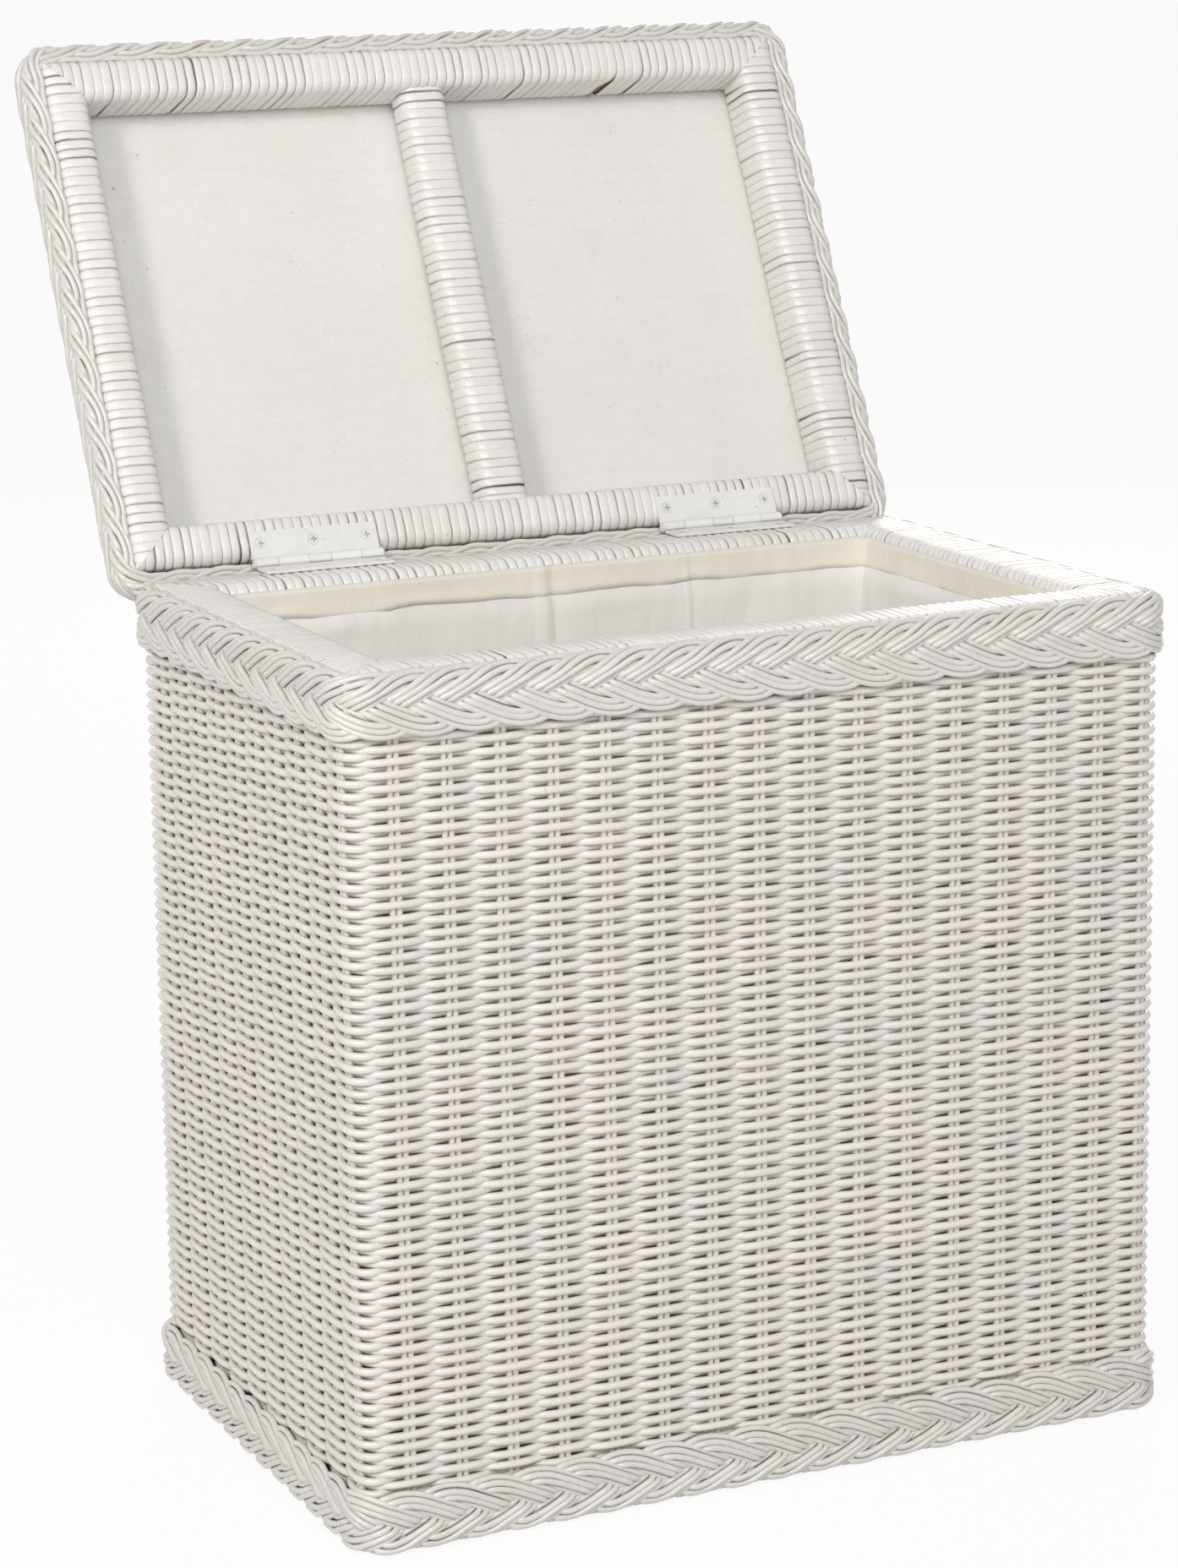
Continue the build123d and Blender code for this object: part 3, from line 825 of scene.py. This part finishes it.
# brushed paint that has yellowed in blotches and rubbed off in specks; its recess input also mixes in a
# second colour as painted shade in the hollows
wornAndShadedPaint = newGroup("wornAndShadedPaint", (
    ("Paint", "NodeSocketColor", (0.8, 0.8, 0.8, 1)), ("Aged", "NodeSocketColor", (0.6, 0.55, 0.5, 1)),
    ("Bare", "NodeSocketColor", (0.35, 0.25, 0.18, 1)), ("ShadeAndWear", "NodeSocketFloat", 0.0),
    ("Tone", "NodeSocketFloat", 0.5), ("Specks", "NodeSocketFloat", 0.5),
    ("Gloss", "NodeSocketFloat", 0.35)),
    (("Color", "NodeSocketColor"), ("Roughness", "NodeSocketFloat"), ("Height", "NodeSocketFloat")))
tree = wornAndShadedPaint
ins = tree.nodes.new("NodeGroupInput").outputs
outs = tree.nodes.new("NodeGroupOutput").inputs
place = tree.nodes.new("ShaderNodeTexCoord").outputs["Object"]
blotch = span(tree, noiseOf(tree, place, 11, 4, 0.6), 0.42, 0.72)
mottle = noiseOf(tree, place, 170, 3, 0.6)
speck = span(tree, noiseOf(tree, place, 420, 2, 0.5), 0.70, 0.76)
speck = maths(tree, "MULTIPLY", speck, span(tree, noiseOf(tree, place, 23, 2), 0.5, 0.62))
speck = maths(tree, "MULTIPLY", speck, ins["Specks"], clamp=True)
# painted shade: the recess input pulls the hollows towards the second colour, on top of the yellowed
# blotches
agedAndShade = maths(tree, "ADD", maths(tree, "MULTIPLY", blotch, 0.22), ins["ShadeAndWear"], clamp=True)
colour = mixColour(tree, agedAndShade, ins["Paint"], ins["Aged"])
shade = maths(tree, "ADD", span(tree, ins["Tone"], 0, 1, 0.965, 1.01),
              span(tree, mottle, 0.3, 0.7, -0.02, 0.02))
grey = addNode(tree, "ShaderNodeCombineColor")
for socket in range(3):
    tree.links.new(shade, grey.inputs[socket])
colour = mixColour(tree, 1.0, colour, grey.outputs[0], "MULTIPLY")
tree.links.new(mixColour(tree, speck, colour, ins["Bare"]), outs["Color"])
rough = maths(tree, "ADD", ins["Gloss"], span(tree, mottle, 0.3, 0.7, -0.05, 0.08))
rough = maths(tree, "ADD", rough, maths(tree, "MULTIPLY", agedAndShade, 0.25), clamp=True)
tree.links.new(rough, outs["Roughness"])
brush = maths(tree, "ADD", maths(tree, "MULTIPLY", mottle, 0.6), noiseOf(tree, place, 60, 2))
tree.links.new(maths(tree, "SUBTRACT", brush, speck), outs["Height"])


def newMaterial(name):
    material = bpy.data.materials.new(name)
    material.use_nodes = True
    return material, material.node_tree, material.node_tree.nodes["Principled BSDF"]


# hollows between rods are seen by how much open space is near, and get painted shade from it
def openness(tree, reach):
    near = addNode(tree, "ShaderNodeAmbientOcclusion", samples=6)
    near.inputs["Distance"].default_value = reach
    return near.outputs["AO"]


def paintMaterial(name, spec):
    material, tree, shader = newMaterial(name)
    paint = addNode(tree, "ShaderNodeGroup", node_tree=wornAndShadedPaint)
    setInputs(paint, Paint=(*spec["paint"], 1), Aged=(*spec["agedAndShade"], 1), Bare=(*spec["bare"], 1),
              Specks=spec["specks"], Gloss=spec["gloss"])
    # painted shade in the hollows: the second colour is darker than the paint on plaits, cane, hinges and
    # screws, and a lighter warm colour in the wicker's gaps
    if spec.get("hollow"):
        near = openness(tree, spec["hollow"])
        closed = span(tree, near, spec["hollowFrom"], spec["hollowTo"], 1, 0)
        tree.links.new(closed, paint.inputs["ShadeAndWear"])
    eachRod = tree.nodes.new("ShaderNodeNewGeometry").outputs["Random Per Island"]
    tree.links.new(eachRod, paint.inputs["Tone"])
    tree.links.new(paint.outputs["Color"], shader.inputs["Base Color"])
    tree.links.new(paint.outputs["Roughness"], shader.inputs["Roughness"])
    bump = setInputs(addNode(tree, "ShaderNodeBump"), Strength=spec["bump"], Distance=0.0004)
    tree.links.new(paint.outputs["Height"], bump.inputs["Height"])
    tree.links.new(bump.outputs["Normal"], shader.inputs["Normal"])
    setInputs(shader, **{"Coat Weight": spec.get("coat", 0.15), "Coat Roughness": 0.2})
    return material


# the wicker's second colour is painted light: a warm tone lighter than the paint, put in the shaded gaps
# between rods so they render lighter
wickerPaint = paintMaterial("wickerPaint", {
    "paint": (0.72, 0.705, 0.68), "agedAndShade": (0.92, 0.79, 0.69), "bare": (0.33, 0.23, 0.16), "specks": 0.6,
    "gloss": 0.26, "bump": 0.35, "hollow": 0.008, "hollowFrom": 0.0, "hollowTo": 0.40, "coat": 0.4})
# the second colour of the plaits, cane and hinges is painted shade, darker than the paint, put in the
# grooves between rods and turns and in the hinge's knuckle gaps
plaitPaint = paintMaterial("plaitPaint", {
    "paint": (0.675, 0.66, 0.635), "agedAndShade": (0.65, 0.565, 0.50), "bare": (0.33, 0.23, 0.16), "specks": 0.6,
    "gloss": 0.26, "bump": 0.35, "hollow": 0.006, "hollowFrom": 0.0, "hollowTo": 0.25, "coat": 0.4})
canePaint = paintMaterial("canePaint", {
    "paint": (0.79, 0.78, 0.757), "agedAndShade": (0.60, 0.53, 0.47), "bare": (0.36, 0.24, 0.17), "specks": 0.8,
    "gloss": 0.36, "bump": 0.3, "hollow": 0.002, "hollowFrom": 0.0, "hollowTo": 0.10, "coat": 0.25})
hingePaint = paintMaterial("hingePaint", {
    "paint": (0.80, 0.80, 0.785), "agedAndShade": (0.55, 0.52, 0.48), "bare": (0.30, 0.27, 0.24), "specks": 0.9,
    "gloss": 0.32, "bump": 0.2, "hollow": 0.003, "hollowFrom": 0.2, "hollowTo": 0.7})
# the screws' second colour is near black: painted shade in the cross slots and round the heads
screwPaint = paintMaterial("screwPaint", {
    "paint": (0.78, 0.775, 0.76), "agedAndShade": (0.05, 0.045, 0.04), "bare": (0.25, 0.22, 0.19), "specks": 0.9,
    "gloss": 0.36, "bump": 0.3, "hollow": 0.0016, "hollowFrom": 0.15, "hollowTo": 0.75})


def plyMaterial():
    material, tree, shader = newMaterial("plyPaint")
    place = tree.nodes.new("ShaderNodeTexCoord").outputs["Object"]
    stretch = addNode(tree, "ShaderNodeMapping")
    stretch.inputs["Scale"].default_value = (3, 40, 40)
    tree.links.new(place, stretch.inputs["Vector"])
    grain = noiseOf(tree, stretch.outputs[0], 4, 5, 0.62)
    paint = addNode(tree, "ShaderNodeGroup", node_tree=wornAndShadedPaint)
    setInputs(paint, Paint=(0.78, 0.77, 0.75, 1), Aged=(0.69, 0.66, 0.62, 1), Bare=(0.42, 0.33, 0.27, 1),
              Specks=1.0, Gloss=0.44)
    scuff = span(tree, noiseOf(tree, place, 26, 6, 0.7), 0.60, 0.74)
    thin = maths(tree, "ADD", maths(tree, "MULTIPLY", scuff, 0.5), span(tree, grain, 0.5, 0.8, 0, 0.25))
    tree.links.new(thin, paint.inputs["ShadeAndWear"])
    tree.links.new(paint.outputs["Color"], shader.inputs["Base Color"])
    tree.links.new(paint.outputs["Roughness"], shader.inputs["Roughness"])
    bump = setInputs(addNode(tree, "ShaderNodeBump"), Strength=0.35, Distance=0.0006)
    tree.links.new(maths(tree, "ADD", grain, paint.outputs["Height"]), bump.inputs["Height"])
    tree.links.new(bump.outputs["Normal"], shader.inputs["Normal"])
    return material


def cottonMaterial():
    material, tree, shader = newMaterial("linerCotton")
    place = tree.nodes.new("ShaderNodeTexCoord").outputs["Object"]
    parts = addNode(tree, "ShaderNodeSeparateXYZ")
    tree.links.new(place, parts.inputs[0])
    x, y, z = parts.outputs
    around = maths(tree, "ADD", x, y)
    warp = maths(tree, "SINE", maths(tree, "MULTIPLY", around, 5200))
    weft = maths(tree, "SINE", maths(tree, "MULTIPLY", z, 5200))
    threads = maths(tree, "MULTIPLY", warp, weft)
    slub = noiseOf(tree, place, 240, 2)
    soft = noiseOf(tree, place, 7, 4, 0.6)
    hem = addNode(tree, "ShaderNodeAttribute", attribute_name="hem").outputs["Fac"]
    colour = mixColour(tree, hem, (0.85, 0.835, 0.805, 1), (0.85, 0.80, 0.72, 1))
    for middle, half in liner["seams"]:  # doubled cloth shows warmer
        aside = maths(tree, "ABSOLUTE", maths(tree, "SUBTRACT", x, middle))
        doubled = span(tree, aside, half, half * 0.5, 0, 80 * half)
        colour = mixColour(tree, doubled, colour, (0.86, 0.81, 0.72, 1))
    colour = mixColour(tree, span(tree, soft, 0.4, 0.75, 0, 0.3), colour, (0.74, 0.69, 0.61, 1))
    colour = mixColour(tree, span(tree, threads, -1, 1, 0, 0.12), colour, (0.62, 0.57, 0.50, 1))
    tree.links.new(colour, shader.inputs["Base Color"])
    tree.links.new(span(tree, slub, 0.3, 0.7, 0.82, 0.95), shader.inputs["Roughness"])
    fall = setInputs(addNode(tree, "ShaderNodeMapping"), Scale=(1, 1, 0.4))
    tree.links.new(place, fall.inputs["Vector"])
    wrinkles = setInputs(addNode(tree, "ShaderNodeBump"), Strength=0.5, Distance=0.006)
    tree.links.new(noiseOf(tree, fall.outputs[0], 34, 3, 0.5), wrinkles.inputs["Height"])
    bump = setInputs(addNode(tree, "ShaderNodeBump"), Strength=0.4, Distance=0.0004)
    tree.links.new(maths(tree, "ADD", maths(tree, "MULTIPLY", threads, 0.4), slub), bump.inputs["Height"])
    tree.links.new(wrinkles.outputs["Normal"], bump.inputs["Normal"])
    tree.links.new(bump.outputs["Normal"], shader.inputs["Normal"])
    setInputs(shader, **{"Sheen Weight": 0.25, "Sheen Roughness": 0.5})
    return material


def woodMaterial():
    material, tree, shader = newMaterial("frameWood")
    place = tree.nodes.new("ShaderNodeTexCoord").outputs["Object"]
    stretch = addNode(tree, "ShaderNodeMapping")
    stretch.inputs["Scale"].default_value = (6, 6, 2)
    tree.links.new(place, stretch.inputs["Vector"])
    grain = noiseOf(tree, stretch.outputs[0], 22, 6, 0.65)
    colour = mixColour(tree, span(tree, grain, 0.35, 0.7), (0.40, 0.26, 0.17, 1), (0.23, 0.13, 0.08, 1))
    tree.links.new(colour, shader.inputs["Base Color"])
    tree.links.new(span(tree, grain, 0.3, 0.7, 0.5, 0.75), shader.inputs["Roughness"])
    bump = setInputs(addNode(tree, "ShaderNodeBump"), Strength=0.3, Distance=0.0005)
    tree.links.new(grain, bump.inputs["Height"])
    tree.links.new(bump.outputs["Normal"], shader.inputs["Normal"])
    return material


plyPaint, linerCotton, frameWood = plyMaterial(), cottonMaterial(), woodMaterial()


def dress(piece, material):
    piece.data.materials.clear()
    piece.data.materials.append(material)


for piece in (*wovenWalls, wovenLidTop):
    dress(piece, wickerPaint)
for piece in (rimBraid, baseBraid, lidBraid):
    dress(piece, plaitPaint)
for piece in caneWraps:
    dress(piece, canePaint)
dress(linerBag, linerCotton)
dress(bpy.data.objects["lid_panel"], plyPaint)
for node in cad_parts:
    piece = bpy.data.objects.get(node)
    if piece and ("leaf" in node or "pin" in node):
        dress(piece, hingePaint)
    elif piece and "screws" in node:
        dress(piece, screwPaint)
    elif piece and ("rail" in node or "post" in node or node == "base_panel"):
        dress(piece, frameWood)
print("materials:", len(bpy.data.materials))


# camera, floor and light
shot = {
    "target": (-0.04409, 0, 0.46313),
    "distance": 3.0125,
    "yaw": math.radians(24.82),
    "pitch": math.radians(12.71),
    "roll": math.radians(-0.85),
    "lens": 97.2,
    "sensor": 36,
    "far": 200,
}
look = Vector((math.sin(shot["yaw"]) * math.cos(shot["pitch"]),
               math.cos(shot["yaw"]) * math.cos(shot["pitch"]), -math.sin(shot["pitch"])))
level = Vector((math.cos(shot["yaw"]), -math.sin(shot["yaw"]), 0))
upright = level.cross(look)
right = math.cos(shot["roll"]) * level + math.sin(shot["roll"]) * upright
upward = -math.sin(shot["roll"]) * level + math.cos(shot["roll"]) * upright
lens = bpy.data.cameras.new("photoCamera")
lens.lens = shot["lens"]
lens.sensor_width = shot["sensor"]
lens.clip_end = shot["far"]
camera = bpy.data.objects.new("photoCamera", lens)
scene.collection.objects.link(camera)
turnTo = Matrix((right, upward, -look)).transposed().to_4x4()
camera.matrix_world = Matrix.Translation(Vector(shot["target"]) - shot["distance"] * look) @ turnTo
scene.camera = camera

studio = {
    "floor": (0.86, 0.86, 0.86),
    "floorWide": 160,
    "floorLow": -0.0005,
    "whiteShare": 0.92,
    "world": (1.0, 0.975, 0.94),
    "worldLight": 0.46,
    "lampsAim": (0, 0, 0.45),
    "lamps": (  # place, size, watts and colour
        ("keyLamp", (-3.1, -2.0, 2.6), 0.8, 62, (1.0, 0.975, 0.945)),
        ("frontLamp", (-1.2, -3.4, 2.6), 1.8, 64, (0.97, 0.985, 1.0)),
        ("backLamp", (1.8, 3.2, 2.0), 2.0, 34, (1.0, 0.985, 0.96)),
    ),
}


# rays that see the white surroundings
def whiteRays(tree):
    seen = tree.nodes.new("ShaderNodeLightPath").outputs
    straight = maths(tree, "MAXIMUM", seen["Is Camera Ray"], seen["Is Glossy Ray"])
    return maths(tree, "MAXIMUM", straight, seen["Is Transmission Ray"])


dropPick()
bpy.ops.mesh.primitive_plane_add(size=studio["floorWide"])
floor = bpy.context.object
floor.name = "floor"
floor.location.z = studio["floorLow"]
floorPaper, tree, shader = newMaterial("floorPaper")
setInputs(shader, **{"Base Color": (*studio["floor"], 1), "Roughness": 0.9, "Specular IOR Level": 0.1})
glow = setInputs(addNode(tree, "ShaderNodeEmission"), Strength=1.0)
blend = addNode(tree, "ShaderNodeMixShader")
tree.links.new(maths(tree, "MULTIPLY", whiteRays(tree), studio["whiteShare"]), blend.inputs[0])
tree.links.new(shader.outputs[0], blend.inputs[1])
tree.links.new(glow.outputs[0], blend.inputs[2])
tree.links.new(blend.outputs[0], tree.nodes["Material Output"].inputs["Surface"])
dress(floor, floorPaper)

scene.world = bpy.data.worlds.new("studio")
scene.world.use_nodes = True
tree = scene.world.node_tree
sky = tree.nodes["Background"]
setInputs(sky, Color=(*studio["world"], 1), Strength=studio["worldLight"])
white = setInputs(addNode(tree, "ShaderNodeBackground"), Color=(1, 1, 1, 1), Strength=1.0)
blend = addNode(tree, "ShaderNodeMixShader")
tree.links.new(whiteRays(tree), blend.inputs[0])
tree.links.new(sky.outputs[0], blend.inputs[1])
tree.links.new(white.outputs[0], blend.inputs[2])
tree.links.new(blend.outputs[0], tree.nodes["World Output"].inputs["Surface"])

for name, spot, size, power, colour in studio["lamps"]:
    lamp = bpy.data.lights.new(name, "AREA")
    lamp.size, lamp.energy, lamp.color = size, power, colour
    holder = bpy.data.objects.new(name, lamp)
    scene.collection.objects.link(holder)
    holder.location = spot
    aim = Vector(studio["lampsAim"]) - Vector(spot)
    holder.rotation_euler = aim.to_track_quat("-Z", "Y").to_euler()
scene.view_settings.view_transform = "Standard"

print("scene ready")
